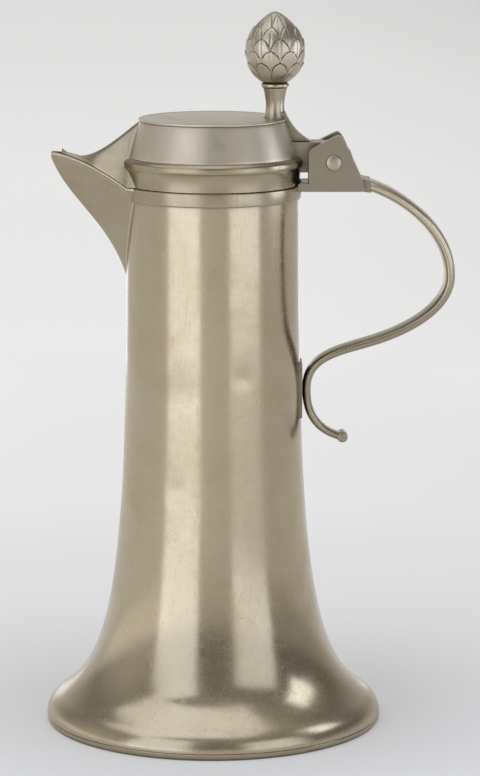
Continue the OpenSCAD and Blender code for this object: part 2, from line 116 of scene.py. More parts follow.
def soften(outline, reach, count=4, least_turn=18):
    """Rounds the corners of a closed outline that turn by more than least_turn degrees."""
    outline = [Vector(p) for p in outline]
    eased = []
    for i, corner in enumerate(outline):
        back = outline[i - 1] - corner
        ahead = outline[(i + 1) % len(outline)] - corner
        turn = 180 - math.degrees(back.angle(ahead, math.pi))
        if turn < least_turn or abs(corner.x) < 1e-6:
            eased.append(corner)
            continue
        start = corner + back.normalized() * min(reach, back.length * 0.45)
        end = corner + ahead.normalized() * min(reach, ahead.length * 0.45)
        eased += curve([start, corner, end], count)
    return eased


eased_square = soften([(1, 0), (2, 0), (2, 1), (1, 1)], 0.2)
print("each corner of a square is eased into", len(eased_square) // 4, "points")

# %% [markdown]
# ## Turning, skinning and cutting
# Most of the jug is round, so it is turned: half a section spun about the axis. The spout,
# the tongue and the handle are skinned instead: a row of ribs with a surface stretched over
# them. Flat cast pieces are cut from a plate. Where two pieces meet, one is cut to fit the
# other with a boolean, as a smith files a spout until it sits on the body.

# %% Mesh helpers
TURNS = 256  # steps round a large turned piece


def raw_piece(name, verts, faces):
    """A closed mesh from millimetres, with every face looking outwards."""
    mesh = bpy.data.meshes.new(name)
    mesh.from_pydata([(x * MM, y * MM, z * MM) for x, y, z in verts], [], faces)
    shape = bmesh.new()
    shape.from_mesh(mesh)
    bmesh.ops.remove_doubles(shape, verts=shape.verts, dist=1e-7)
    bmesh.ops.recalc_face_normals(shape, faces=shape.faces)
    shape.to_mesh(mesh)
    shape.free()
    piece = bpy.data.objects.new(name, mesh)
    bpy.context.scene.collection.objects.link(piece)
    return piece


def turned(name, outline, turns=TURNS, centre_x=0, dent=None):
    """Spins a half section of (radius, height) points about an upright axis."""
    verts, rings = [], []
    for radius, height in outline:
        count = 1 if radius < 1e-6 else turns  # a point on the axis needs no ring
        rings.append([len(verts) + i for i in range(count)])
        for i in range(count):
            angle = math.tau * i / count
            here = radius + (dent(angle, radius, height) if dent and count > 1 else 0)
            verts.append((centre_x + here * math.cos(angle), here * math.sin(angle), height))
    faces = []
    for one, two in zip(rings, rings[1:] + rings[:1]):
        if len(one) + len(two) == 2:
            continue
        for i in range(turns):
            j = (i + 1) % turns
            corners = [one[i % len(one)], one[j % len(one)], two[j % len(two)], two[i % len(two)]]
            faces.append(tuple(dict.fromkeys(corners)))
    return raw_piece(name, verts, faces)


def tube_faces(rib_count, sides):
    """The faces of a skin over ribs with that many points, left open at both ends."""
    return [(i * sides + j, i * sides + (j + 1) % sides, (i + 1) * sides + (j + 1) % sides,
             (i + 1) * sides + j) for i in range(rib_count - 1) for j in range(sides)]


def skinned(name, ribs):
    """Stretches a skin over closed ribs of the same number of points, and closes both ends."""
    sides = len(ribs[0])
    faces = tube_faces(len(ribs), sides)
    last = (len(ribs) - 1) * sides
    for first in (0, last):
        faces += [(first + j, first + j + 1, first + sides - 2 - j, first + sides - 1 - j)
                  for j in range(sides // 2 - 1)]
    return raw_piece(name, [p for rib in ribs for p in rib], faces)


def plate(name, outline, low_y, high_y):
    """A flat piece cut to an outline drawn in X and Z."""
    count = len(outline)
    verts = [(p[0], y, p[1]) for y in (low_y, high_y) for p in outline]
    faces = [tuple(range(count)), tuple(range(2 * count - 1, count - 1, -1))]
    faces += [(i, (i + 1) % count, count + (i + 1) % count, count + i) for i in range(count)]
    return raw_piece(name, verts, faces)


def settle(piece):
    """Makes the piece's modifiers part of its mesh."""
    seen = piece.evaluated_get(bpy.context.evaluated_depsgraph_get())
    mesh = bpy.data.meshes.new_from_object(seen)
    piece.modifiers.clear()
    piece.data = mesh


def fit(piece, other, how="DIFFERENCE"):
    """Cuts the piece with another solid, or joins them, and throws the other away."""
    step = piece.modifiers.new("fit", "BOOLEAN")
    step.operation, step.solver, step.object = how, "EXACT", other
    settle(piece)
    bpy.data.objects.remove(other)


def ease_edges(piece, width):
    """Rounds the edges of a cast piece that turn by more than 38 degrees."""
    step = piece.modifiers.new("ease", "BEVEL")
    step.width, step.segments = width * MM, 3
    step.limit_method, step.angle_limit = "ANGLE", math.radians(38)
    settle(piece)
    return piece


print("round pieces are turned in", TURNS, "steps")

# %% [markdown]
# ## The trumpet shape
# The jug's wall is one sweeping line: a straight neck, a slow widening, and a sharp flare
# that runs out into the foot. Two fading terms give that line exactly, so the same rule
# places everything that is soldered to the wall. Old raised silver isn't perfect, though. The
# hammer leaves shallow hollows and a long life adds dents, and these make a reflection waver.
# We put that into the mesh itself, and let it fade where another piece has to sit.

# %% The wall's line, and its small faults
neck_r = 40.3
swell_r, swell_h, flare_h = 29.0, 50.0, 11.5
wall_t = 1.6
shy = 0.03  # a piece keeps this far back from its neighbour or its box
mouth_z = high("body_shell").z
split_z = low("body_shell").z
skirt_z = low("foot_skirt").z
foot_r = high("foot_rim").x - shy
skirt_foot_r = high("foot_skirt").x
flare_r = ((skirt_foot_r - neck_r - swell_r * math.exp(-skirt_z / swell_h))
           / math.exp(-skirt_z / flare_h))


def wall_r(z):
    return neck_r + swell_r * math.exp(-z / swell_h) + flare_r * math.exp(-z / flare_h)


def wall_slope(z):
    return swell_r / swell_h * math.exp(-z / swell_h) + flare_r / flare_h * math.exp(-z / flare_h)


def inside_r(z):
    return wall_r(z) - wall_t * math.hypot(1, wall_slope(z))


# direction in radians, height, radius and depth in mm
dents = [(-1.95, 118, 7.5, 0.22), (-1.2, 171, 5.5, 0.16), (0.9, 92, 8, 0.25), (2.5, 150, 6, 0.2),
         (-0.35, 63, 6, 0.16), (-2.75, 205, 6.5, 0.18), (1.9, 215, 5, 0.15)]


def share_of(length, whole):
    """The length as a share of the whole, kept between 0 and 1."""
    return min(1, max(0, length / whole))


def worn_wall(angle, radius, height):
    """How far the hammer and a long life have moved the wall, at this place."""
    fade = share_of(mouth_z - 12 - height, 20) * share_of(height - skirt_z, 12)
    place = Vector((math.cos(angle) * neck_r, math.sin(angle) * neck_r, height))
    wide_hollows = 0.11 * noise.noise(place / 38)
    move = wide_hollows + 0.018 * noise.noise(place / 10 + Vector((7, 3, 1)))
    for dent_angle, dent_z, dent_r, depth in dents:
        turn = math.remainder(angle - dent_angle, math.tau) * radius
        away = math.hypot(turn, height - dent_z) / dent_r
        if away < 2:
            move -= depth * math.exp(-away * away * 1.8)
    return fade * move


print("the wall is", round(wall_r(mouth_z), 2), "mm in radius at the mouth and",
      round(wall_r(split_z), 2), "mm where the foot is joined")

# %% [markdown]
# ## The body
# On the real jug this is one sheet of silver, raised with hammers over a stake. We turn its
# section, outside line up and inside line down, with many rings so that the long reflections
# stay smooth. The wall behind the spout is cut open later, when the spout's shape is known.

# %% Turn the body, the vessel's floor and the foot's skirt
def wall_section(from_z, to_z, count):
    outside = [(wall_r(z), z) for z in steps(from_z, to_z, count)]
    inside = [(inside_r(z), z) for z in steps(to_z, from_z, count // 2)]
    return outside + inside


body = turned("jug_body", wall_section(split_z, mouth_z, 150), dent=worn_wall)
skirt = turned("foot_sweep", wall_section(skirt_z, split_z, 60), dent=worn_wall)
floor_low, floor_high = low("vessel_floor").z, high("vessel_floor").z
floor_dip, dip_r = 0.35, 42
pan = turned("vessel_pan", [(0, floor_low), (inside_r(floor_low) - shy, floor_low),
                            (inside_r(floor_high) - shy, floor_high)]
             + [(r, floor_high - floor_dip * (1 - (r / dip_r) ** 2)) for r in steps(40, 0, 16)])
print("the body has", len(body.data.polygons), "faces")

# %% [markdown]
# ## The foot's rim
# The flare ends in a heavy rounded rim that takes the knocks and keeps the jug from tipping.
# It stands on a narrow flat ring, and a fine line is cut above it, as on a turned foot. We
# draw the round outside with one bend, ease the small corners at the table, and turn it with
# the same number of steps as the skirt above it.

# %% Turn the foot's rim
rim_edge_z, rim_t, seat_w, seat_in = 3.0, 2.2, 3.8, 0.8
bulge = foot_r - skirt_foot_r
rim_corner_z = skirt_z - bulge / wall_slope(skirt_z)
rim_outside = curve([(skirt_foot_r, skirt_z), (foot_r, rim_corner_z), (foot_r, rim_edge_z)], 22)
rim_inside = curve([(foot_r - rim_t, rim_edge_z), (foot_r - rim_t, rim_corner_z),
                    (inside_r(skirt_z), skirt_z)], 14)
seat_r = foot_r - seat_in
line_cut = 0.3
scribed_line = [(foot_r, rim_edge_z + line_cut), (foot_r - line_cut, rim_edge_z)]
seat_corners = [(foot_r, rim_edge_z), (foot_r, rim_edge_z - line_cut), (foot_r - 0.2, 1),
                (seat_r, 0), (seat_r - seat_w, 0), (seat_r - seat_w, 1.8),
                (foot_r - rim_t, rim_edge_z)]
rim_foot = scribed_line + soften(seat_corners, 0.35)[5:-5]  # without its two end corners


def worn_rim(angle, radius, height):
    """The rim is knocked in here and there, by less than a fifth of a millimetre."""
    share = share_of(height, 4) * share_of(skirt_z - height, 4)
    return -0.09 * share * (1 + noise.noise(Vector((math.cos(angle) * 3, math.sin(angle) * 3, 5))))


rim = turned("foot_rim_ring", rim_outside[:-1] + rim_foot + rim_inside, dent=worn_rim)
print("the rim is", round(2 * foot_r, 1), "mm across")

# %% [markdown]
# ## The spout
# The spout is a beak: a trough folded from sheet, with a keel that leaves the body low down
# and runs out to a narrow tip. Each rib is a rounded V between two edges and the keel. The
# edges rise to the tip on a curve that flattens as it goes. One rule makes the trough, the
# solid that opens the wall behind it, and the bar that strengthens its edges.

# %% Rules for the spout's ribs
spout_reach = -low("spout_beak").x
band_r = high("mouth_band").y
spout_lift, tip_depth, tip_w, spread, keel_drop = 15.2, 3.2, 2.8, 0.43, 56
spout_t, lip_h, lip_out = 1.3, 1.8, 0.5
edge_start, rise_start = 30, band_r - 2
keel_round, rib_sides = 0.28, 40


def half_width(x):
    return tip_w + (spout_reach - x) * spread


def edge_z(x):
    share = max(0, (x - rise_start) / (spout_reach - rise_start))
    return mouth_z + spout_lift * (1 - (1 - min(1, share)) ** 1.6)


def fold(u, roundness):
    """0 in the middle and 1 at both edges, as a V with a rounded bottom."""
    return (math.hypot(u, roundness) - roundness) / (math.hypot(1, roundness) - roundness)


keel_line = [Vector(p) for p in (
    (neck_r - 2.5, mouth_z - keel_drop), (neck_r + 3.5, mouth_z - keel_drop * 0.35),
    (spout_reach - 9.5, mouth_z - keel_drop * 0.2), (spout_reach, edge_z(spout_reach) - tip_depth))]


def spout_rib(t, inset, top):
    """Points from one edge round the keel to the other, moved inwards by inset."""
    keel = bend(keel_line, t) + inset * Vector((-0.6, 0.8))
    x = edge_start + (spout_reach - edge_start) * t
    rib = []
    for u in steps(-1, 1, rib_sides):
        share = fold(u, keel_round)
        rib.append((-(keel.x + (x - keel.x) * share), u * (half_width(x) - inset),
                    keel.y + (edge_z(x) - top - keel.y) * share))
    return rib


spout_ribs = steps(0, 1, 64)
print("the spout reaches", round(spout_reach, 1), "mm and is",
      round(2 * half_width(band_r), 1), "mm wide at the band")

# %% [markdown]
# ## Fitting the spout to the body
# The trough is skinned between an outer and an inner row of ribs, then filed back to the
# body's wall. The same shape, filled up to the top, opens the wall so that wine can flow.
# A boolean is right here, because the joint between a cone-like spout and a round body is a
# curve in space that nobody wants to work out by hand.

# %% Skin the spout and open the wall
def filled_spout(inset):
    top = mouth_z + 2 * spout_lift
    ribs = []
    for t in spout_ribs:
        rib = spout_rib(t, inset, lip_h)
        ribs.append(rib + [(x, y, top) for x, y, z in reversed(rib)])
    return skinned("filled_spout", ribs)


def body_core():
    """The outside of the body as one block, to file other pieces back to."""
    line = [(wall_r(z) + 0.02, z) for z in steps(split_z, mouth_z, 60)]
    return turned("body_core", [(0, split_z)] + line + [(0, mouth_z)])


beak = skinned("spout_trough", [spout_rib(t, 0, lip_h) + spout_rib(t, spout_t, lip_h)[::-1]
                                for t in spout_ribs])
fit(beak, body_core())
fit(body, filled_spout(spout_t))
print("the spout's trough has", len(beak.data.polygons), "faces")

# %% [markdown]
# ## The spout's lip and the mouth band
# Thin sheet needs a stiff edge. A rounded bar is soldered along each edge of the spout,
# and a flat band round the mouth. The bar's section is a small rounded ring of points carried
# along the edge. The band is turned, then cut away where the spout passes through it.

# %% Make the lip and the band
def lip_section(x, side):
    """The bar's section at x, on one side of the spout."""
    outer, inner = lip_out, -spout_t - lip_out
    ring = soften([(outer - 0.2, -lip_h), (outer, -lip_h * 0.6), (outer, 0), (inner, 0),
                   (inner, -lip_h * 0.6), (inner + 0.2, -lip_h)], 0.75, 4, 30)
    return [(-x, side * (half_width(x) + p.x), edge_z(x) + p.y) for p in ring]


def lip_bar(side):
    ribs = [lip_section(x, side) for x in steps(edge_start, spout_reach, 90)]
    return ribs if side > 0 else [rib[::-1] for rib in ribs]


def band_core():
    """The outside of the mouth band as one block, to file other pieces back to."""
    return turned("band_core", [(0, mouth_z - 20), (band_r, mouth_z - 20), (band_r, mouth_z + 30),
                                (0, mouth_z + 30)])


lip = skinned("spout_edge_bars", lip_bar(1))
fit(lip, skinned("other_bar", lip_bar(-1)), "UNION")
fit(lip, band_core())
band_low = low("mouth_band").z
band = turned("mouth_ring", soften([(neck_r - 0.5, band_low), (band_r, band_low), (band_r, mouth_z),
                                    (neck_r - 0.5, mouth_z)], 0.75, 5))
fit(band, body_core())
fit(band, filled_spout(0))
print("the band is", round(mouth_z - band_low, 1), "mm high")

# %% [markdown]
# ## The lid
# The lid is a low drum. A flared band with a bead sits over the mouth, a sloping side rises
# from it, and a shallow dome closes the top. They are three pieces of sheet soldered at the
# seams, so they are three turned pieces here too. The thin line between them is what tells
# the eye that the lid was built and not cast in one.

# %% Turn the lid's shell
lid_z, side_z, top_z = low("lid_rim_band").z, high("lid_rim_band").z, high("lid_side").z
lid_r, side_r, top_r = high("lid_rim_band").y, high("lid_side").y, 34.2
lid_foot_r, bead_h, lid_t, dome_h = 40.8, 4.2, 1.5, 1.5
top_edge_t = lid_t * 0.8
bead_low = side_z - bead_h - 0.6
flare_line = curve([(lid_foot_r, lid_z), (lid_foot_r + 0.2, bead_low - 1.5),
                    (lid_r - 0.6, bead_low)], 16)
bead_line = soften([(lid_r - 0.6, bead_low), (lid_r, bead_low + 0.7), (lid_r, side_z - 1.8),
                    (lid_r - 0.7, side_z - 0.9), (side_r + 0.5, side_z)], 0.9, 5, 15)[5:-5]


def dome_z(r):
    return top_z + top_edge_t * 0.6 + dome_h * (1 - (r / top_r) ** 2)


def worn_lid(angle, radius, height):
    place = Vector((math.cos(angle), math.sin(angle), height / 30)) * 1.6
    return 0.05 * noise.noise(place)


def worn_top(place):
    """The top waves by 0.06 mm either way, and only downwards from its drawn height."""
    return 0.06 * noise.noise(place / 16) - 0.06


rim_band = turned("lid_band", flare_line + bead_line
                  + [(side_r + 0.4, side_z), (side_r - lid_t, side_z), (side_r - lid_t, lid_z)])
slope = [(side_r + (top_r - side_r) * t, side_z + (top_z - side_z) * t)
         for t in steps(0.08, 0.92, 12)]
side = turned("lid_drum", soften([(side_r, side_z)] + slope + [
    (top_r, top_z), (top_r - lid_t, top_z), (side_r - lid_t, side_z)], 0.12, 2, 40), dent=worn_lid)
crown_edge = soften([(top_r - 2, top_z), (top_r, top_z), (top_r + 0.6, top_z + top_edge_t * 0.4),
                     (top_r + 0.3, top_z + top_edge_t),
                     (top_r - 1, dome_z(top_r - 1))], 0.35)[5:-5]
crown = turned("lid_crown", [(0, top_z)] + [(top_r - 2, top_z)] + crown_edge
               + [(r, dome_z(r)) for r in steps(top_r - 1, 0, 40)])
for corner in crown.data.vertices:
    if corner.co.z > (top_z + top_edge_t + 0.1) * MM and corner.co.xy.length < (top_r - 4) * MM:
        corner.co.z += worn_top(corner.co / MM) * MM
print("the lid rises", round(top_z - lid_z, 1), "mm above the mouth")

# %% [markdown]
# ## Inside the lid, and its tongue
# A short ring hangs inside the mouth and keeps the lid in place. It is cut away in front of
# the spout. From the lid's side a tongue runs out over the spout like a roof and keeps dust
# out. It is skinned like the spout, ribs with a rounded ridge, and filed back to the drum.

# %% Make the locating ring and the tongue
ring_r = inside_r(mouth_z) - 1.1
ring_low = low("lid_bezel").z
ring_in = ring_r - 1.4
locator = turned("locating_ring", soften([(ring_in, lid_z + 2), (side_r - lid_t, lid_z + 2),
                                          (side_r - lid_t, lid_z), (ring_r, lid_z),
                                          (ring_r - 0.5, ring_low), (ring_in, ring_low)], 0.4, 3))
gap_w = half_width(inside_r(mouth_z)) - spout_t
fit(locator, plate("gap", [(-2 * lid_r, ring_low - 1), (0, ring_low - 1), (0, lid_z + 3),
                           (-2 * lid_r, lid_z + 3)], -gap_w, gap_w))

tongue_reach, tongue_start = -low("lid_tongue").x, top_r - 1
tongue_mid = (tongue_start + tongue_reach) / 2
tongue_t, ridge_round, seam = 1.3, 0.22, 0.3


def tongue_low(x):
    return edge_z(x) + seam


ridge_line = [Vector(p) for p in (
    (tongue_start, top_z + 0.6), (tongue_mid - 5, top_z - 10),
    (tongue_mid + 8, tongue_low(tongue_reach) - 8), (tongue_reach, tongue_low(tongue_reach) + 2))]


def tongue_rib(t, inset, lower):
    """Points over the ridge from one edge to the other, moved inwards and down."""
    ridge = bend(ridge_line, t)
    ridge_z, foot_z = ridge.y - lower, tongue_low(ridge.x)
    return [(-ridge.x, u * (half_width(ridge.x) - inset),
             ridge_z - (ridge_z - foot_z) * fold(u, ridge_round)) for u in steps(-1, 1, rib_sides)]


def lid_core():
    """The outside of the lid as one block."""
    return turned("lid_core", [(0, lid_z)] + flare_line + bead_line + [(side_r, side_z)]
                  + crown_edge + [(r, dome_z(r)) for r in steps(top_r - 1, 0, 12)])


tongue = skinned("lid_beak_cover", [tongue_rib(t, 0, 0) + tongue_rib(t, spout_t, tongue_t)[::-1]
                                    for t in steps(0, 1, 56)])
fit(tongue, lid_core())
print("the tongue stops", round(spout_reach - tongue_reach, 1), "mm short of the spout's tip")

# %% [markdown]
# ## The hinge
# Five barrels would be a box hinge. This one is simpler and older: two cast ears stand on a
# bracket, one knuckle on the lid's leaf turns between them, and a riveted pin holds all three.
# Cast pieces are cut from plates and joined with booleans, then their edges are eased with
# a bevel. The bracket's shelf is filed to the round mouth band, and its tail meets the strap.

# %% Cast the bracket and its ears
pin_x, _, pin_z = (v / MM for v in frame["joints"][0]["pos_m"])
pin_r, driven_fit, running_fit = 2.0, 0.01, 0.06
knuckle_r, leaf_w, ear_gap, ear_t = 9.2, 6.6, 0.35, 5.0
ear_in, ear_out = leaf_w + ear_gap, leaf_w + ear_gap + ear_t
shelf_top = pin_z - knuckle_r - 0.7
shelf_low = shelf_top - 3.6
shelf_end = high("hinge_bracket").x
strap_w, strap_end_w, strap_t, strap_end_t = 18, 9, 5.6, 3.6
strap_low = shelf_low - 0.8
strap_top = strap_low + strap_t


def rod(name, radius, low_y, high_y, x=pin_x, z=pin_z, turns=96):
    """A straight round bar across the jug."""
    angles = [math.tau * i / turns for i in range(turns)]
    outline = [(x + radius * math.cos(a), z + radius * math.sin(a)) for a in angles]
    return plate(name, outline, low_y, high_y)


def ear(low_y):
    front_x, front_z = pin_x - 11.6, pin_z + 6.8
    peak_x, peak_z = pin_x + 2.6, pin_z + 12.8
    outline = [(front_x, shelf_low), (front_x, front_z - 1.2), (front_x + 1.4, front_z),
               (peak_x - 2.6, peak_z - 0.9), (peak_x, peak_z + 0.15), (peak_x + 2, peak_z - 2),
               (shelf_end - 4, shelf_top + 1.5), (shelf_end - 3, shelf_low)]
    return plate("ear", soften(outline, 1.6, 5), low_y, low_y + ear_t)


bracket = plate("hinge_shelf", [(band_r - 4, shelf_low), (shelf_end - 8, shelf_low),
                                (shelf_end - 5, shelf_top), (band_r - 4, shelf_top)],
                -ear_out, ear_out)
tail_outline = [(pin_x, shelf_low), (shelf_end - 6, shelf_low), (shelf_end, strap_low),
                (shelf_end, strap_top), (shelf_end - 5, strap_top + 1),
                (pin_x + knuckle_r, shelf_top), (pin_x, shelf_top)]
fit(bracket, plate("tail", tail_outline, -strap_w / 2, strap_w / 2), "UNION")
for low_y in (-ear_out, ear_in):
    fit(bracket, ear(low_y), "UNION")
fit(bracket, rod("hole", pin_r + driven_fit, -2 * ear_out, 2 * ear_out))
fit(bracket, band_core())
ease_edges(bracket, 0.45)
print("the ears stand", round(2 * ear_out, 1), "mm apart, outside to outside")

# %% [markdown]
# ## The leaf and the pin
# The leaf is a plate on the lid's side that ends in the knuckle, a round boss between the two
# ears. It is one outline: straight along the top, round the knuckle, and straight back below.
# The pin is drawn as a turned piece standing up, with a low dome at each end where the rivet
# was hammered over, and then laid down along Y. The dark circle round each dome is the joint
# between pin and ear, and it tells the eye that this part moves.

# %% Cut the lid's leaf and turn the pin
leaf_drop = 5
leaf_low, leaf_top = pin_z - leaf_drop, pin_z + knuckle_r
arc_start = math.asin(-leaf_drop / knuckle_r)
knuckle = [(pin_x + knuckle_r * math.cos(a), pin_z + knuckle_r * math.sin(a))
           for a in steps(-math.pi - arc_start, math.pi / 2, 60)]
leaf = plate("lid_leaf", [(top_r, leaf_top), (top_r, leaf_low)] + knuckle, -leaf_w, leaf_w)
fit(leaf, rod("hole", pin_r + running_fit, -2 * ear_out, 2 * ear_out))
ease_edges(leaf, 0.4)
fit(leaf, lid_core())

pin_head_r, pin_head_h = 3.6, 1.3


def pin_head(side):
    """Half the section of a rivet's head, from its middle out to the ear."""
    dome = [(pin_head_r * math.cos(a), side * (ear_out + pin_head_h * (0.3 + 0.7 * math.sin(a))))
            for a in steps(0, math.pi / 2, 8)]
    return [(0, side * (ear_out + pin_head_h))] + dome[::-1][1:] + [(pin_head_r, side * ear_out)]


pin_line = pin_head(-1) + [(pin_r, -ear_out), (pin_r, ear_out)] + pin_head(1)[::-1]
pin = turned("rivet_pin", pin_line, turns=96)
for corner in pin.data.vertices:
    x, y, z = corner.co
    corner.co = (pin_x * MM + x, z, pin_z * MM - y)
print("the pin is", round(2 * (ear_out + pin_head_h), 1), "mm long")

# %% [markdown]
# ## The thumbpiece
# You open the lid by pressing the thumb on this bud. A turned stem carries it, a small collar
# hides the joint, and a web braces the stem on the leaf. The stem swells a little at both
# ends, so it is drawn with two bends. The web is a plate whose long edge is one hollow curve,
# and the two meet the lid and each other with booleans, as if they had been filed to fit.

# %% Turn the stem, the collar and cut the web
thumb_x = (low("thumb_collar").x + high("thumb_collar").x) / 2
stem_z, stem_top = top_z + top_edge_t, high("thumb_stem").z
stem_r, collar_r = 4.8, high("thumb_collar").y
collar_z, collar_top = low("thumb_collar").z, high("thumb_collar").z
stem_h = stem_top - stem_z
stem_foot_r, stem_sunk = stem_r + 0.3, stem_z - 0.5
stem_neck = (stem_r, stem_z + stem_h * 0.7)
stem_line = [(0, stem_sunk), (stem_foot_r, stem_sunk)]
stem_line += curve([(stem_foot_r, stem_z), (stem_r - 1, stem_z + stem_h * 0.35), stem_neck], 20)
stem_line += curve([stem_neck, (stem_r + 0.35, stem_z + stem_h * 0.85),
                    (stem_r + 0.9, stem_top)], 6)[1:] + [(0, stem_top)]
stem = turned("thumb_post", stem_line, 96, thumb_x)
fit(stem, lid_core())
collar = turned("thumb_ring", [(0, collar_z)] + soften(
    [(collar_r - 1.4, collar_z), (collar_r, collar_z + 0.6), (collar_r, collar_top - 0.6),
     (collar_r - 1.3, collar_top)], 0.8, 6) + [(0, collar_top)], 96, thumb_x)

web_reach, web_t, web_up = 17, 8, 3
web_line = curve([(thumb_x + stem_r, stem_z + web_up), (thumb_x + web_reach * 0.53, leaf_top + 4),
                  (thumb_x + web_reach, leaf_top)], 16)
web = plate("thumb_brace", [(thumb_x + 2, leaf_top), (thumb_x + 2, stem_z + web_up)] + web_line,
            -web_t / 2, web_t / 2)
ease_edges(web, 0.6)
fit(web, lid_core())
fit(web, turned("stem_core", stem_line, 96, thumb_x))
print("the stem stands", round(thumb_x, 1), "mm from the jug's axis")

# %% [markdown]
# ## The bud
# The bud is cast round and then chased: a punch sinks the ground between rows of overlapping
# leaves. Modelling each leaf would be slow, and sculpting them by hand would never come out
# even. So we turn a smooth bud with very many points and work out for each one how deep the
# punch went. A leaf has a rounded tip, a soft edge and a sunk vein, each row is turned by half
# a leaf, and the leaf nearest the bottom lies on top of those above it.

# %% Chase the bud
bud_low, bud_high, bud_r = low("thumb_bud").z, high("thumb_bud").z, high("thumb_bud").y
bud_h = bud_high - bud_low
leaves_round, leaf_rows, leaf_length = 9, 6, 1.75
chase_depth = 1.15
leaf_fullness, tip_bluntness, soft_edge = 1.08, 2.6, 0.16
vein_w, vein_depth = 0.09, 0.16
groove_h, leaf_root_h = 0.15, 0.28  # shares of the depth of the chasing


def bud_line(count):
    """The bud's outline before chasing, from its foot to its tip."""
    waist = bud_h * 0.47
    lower = curve([(bud_r * 0.4, 0), (bud_r, bud_h * 0.1), (bud_r, waist)], count)
    upper = curve([(bud_r, waist), (bud_r, bud_h * 0.74), (bud_r * 0.2, bud_h * 0.97)], count)
    return lower + upper[1:] + [Vector((bud_r * 0.1, bud_h * 0.99)), Vector((0, bud_h))]


def leaf_height(angle, share):
    """Low in the grooves and 1 on the tip of a leaf, at a share of the bud's height."""
    row = share * leaf_rows
    for first in range(max(0, int(row - leaf_length)), int(row) + 1):
        up = (row - first) / leaf_length
        if not 0 <= up < 1:
            continue
        turn = angle / math.tau * leaves_round + 0.5 * (first % 2)
        across = abs(turn - round(turn)) * 2
        width = leaf_fullness * math.sqrt(max(0, 1 - up ** tip_bluntness))
        if across < width:
            edge = share_of(width - across, soft_edge)
            vein = vein_depth * math.exp(-((across / vein_w) ** 2))
            return (leaf_root_h + 0.72 * up) * (edge * edge * (3 - 2 * edge)) - vein
    return groove_h


def chased(angle, radius, height):
    """How far the punch has sunk this point. The foot and the tip are left calm."""
    share = (height - bud_low) / bud_h
    calm = share_of(share, 0.06) * share_of(1 - share, 0.05)
    return -chase_depth * calm * (1 - leaf_height(angle, share)) * share_of(radius, bud_r * 0.45)


bud_section = [(0, bud_low)] + [(p.x, bud_low + p.y) for p in bud_line(80)]
bud = turned("thumb_bud_leaves", bud_section, 252, thumb_x, chased)
print("the bud has", leaves_round * leaf_rows, "leaves and", len(bud.data.polygons), "faces")

# %% [markdown]
# ## The handle
# A tapering strap leaves the hinge, swings out for the hand, comes in to the body and kicks
# out again in a small curled tail. Four bends joined end to end give its line. The section is
# a rectangle with full, soft edges, carried along and turned with the line, and getting
# narrower and thinner on the way down. A Blender curve with a bevel could do this too, but
# it wouldn't taper the width and the thickness by different amounts.

# %% Sweep the strap
reach_x = 111.64
belly_z, turn_z, seat_z = mouth_z - 43.5, mouth_z - 74, mouth_z - 97.5
pad_t, pad_up, pad_out = 0.8, 13, 8.5
tail_out, tail_drop = 18, 23.4
strap_ribs, strap_sides, edge_thinning = 221, 40, 0.12
seat_x = wall_r(seat_z) + pad_t + (strap_t + (strap_end_t - strap_t) * 0.75) / 2
turn_x = seat_x + 32.4
start = (shelf_end, strap_top - strap_t / 2)
strap_bends = [[Vector(p) for p in points] for points in (
    (start, (start[0] + 13, start[1] - 4), (reach_x, belly_z + 23.5), (reach_x, belly_z)),
    ((reach_x, belly_z), (reach_x, belly_z - 13), (turn_x + 20, turn_z + 6.5), (turn_x, turn_z)),
    ((turn_x, turn_z), (turn_x - 16, turn_z - 5.2), (seat_x, seat_z + 16.5), (seat_x, seat_z)),
    ((seat_x, seat_z), (seat_x, seat_z - 13), (seat_x + 5.5, seat_z - tail_drop + 3),
     (seat_x + tail_out, seat_z - tail_drop)))]


def strap_place(share):
    """The strap's middle, at a share of its run from the hinge to the tail."""
    along = min(share, 0.99999) * len(strap_bends)
    return bend(strap_bends[int(along)], along - int(along))


def full_edge(value):
    """Pushes a round section outwards, almost to a rectangle."""
    return math.copysign(abs(value) ** 0.6, value)


def strap_rib(share):
    """The strap's section there, a little thinner towards its two edges."""
    place = strap_place(share)
    ahead, behind = strap_place(min(1, share + 0.002)), strap_place(max(0, share - 0.002))
    onward = (ahead - behind).normalized() if share else Vector((1, 0))
    out = Vector((-onward.y, onward.x))
    thick = (strap_t + (strap_end_t - strap_t) * share) / 2
    wide = (strap_w + (strap_end_w - strap_w) * share) / 2
    rib = []
    for i in range(strap_sides):
        angle = math.tau * (i + 0.5) / strap_sides
        up, sideways = full_edge(math.sin(angle)) * thick, full_edge(math.cos(angle)) * wide
        crown = edge_thinning * thick * (1 - (sideways / wide) ** 2) - edge_thinning * thick
        point = place + out * (up + (crown if up > 0 else -crown))
        rib.append((point.x, sideways, point.y))
    return rib


def strap_mesh(name):
    verts = [p for share in steps(0, 1, strap_ribs - 1) for p in strap_rib(share)]
    faces = tube_faces(strap_ribs, strap_sides)
    faces += [tuple(range(strap_sides)), tuple(range(len(verts) - strap_sides, len(verts)))]
    return raw_piece(name, verts, faces)


strap = strap_mesh("handle_strap_swept")
curl_r, curl_half_w = 2.5, strap_end_w / 2 + 0.3
curl = strap_place(1) + Vector((-0.9, 0.5))
roll = rod("curl", curl_r, -curl_half_w, curl_half_w, curl.x, curl.y, 64)
fit(strap, ease_edges(roll, 0.7), "UNION")
pad_face, pad_back = wall_r(seat_z) + pad_t, neck_r - 8
pad = plate("handle_seat", soften([(pad_back, seat_z - pad_up), (pad_face, seat_z - pad_up),
                                   (pad_face, seat_z + pad_up), (pad_back, seat_z + pad_up)],
                                  0.5, 3), -pad_out, pad_out)
ease_edges(pad, 0.3)
fit(pad, body_core())
print("the hand has", round(reach_x - strap_t / 2 - wall_r(belly_z)), "mm inside the handle")

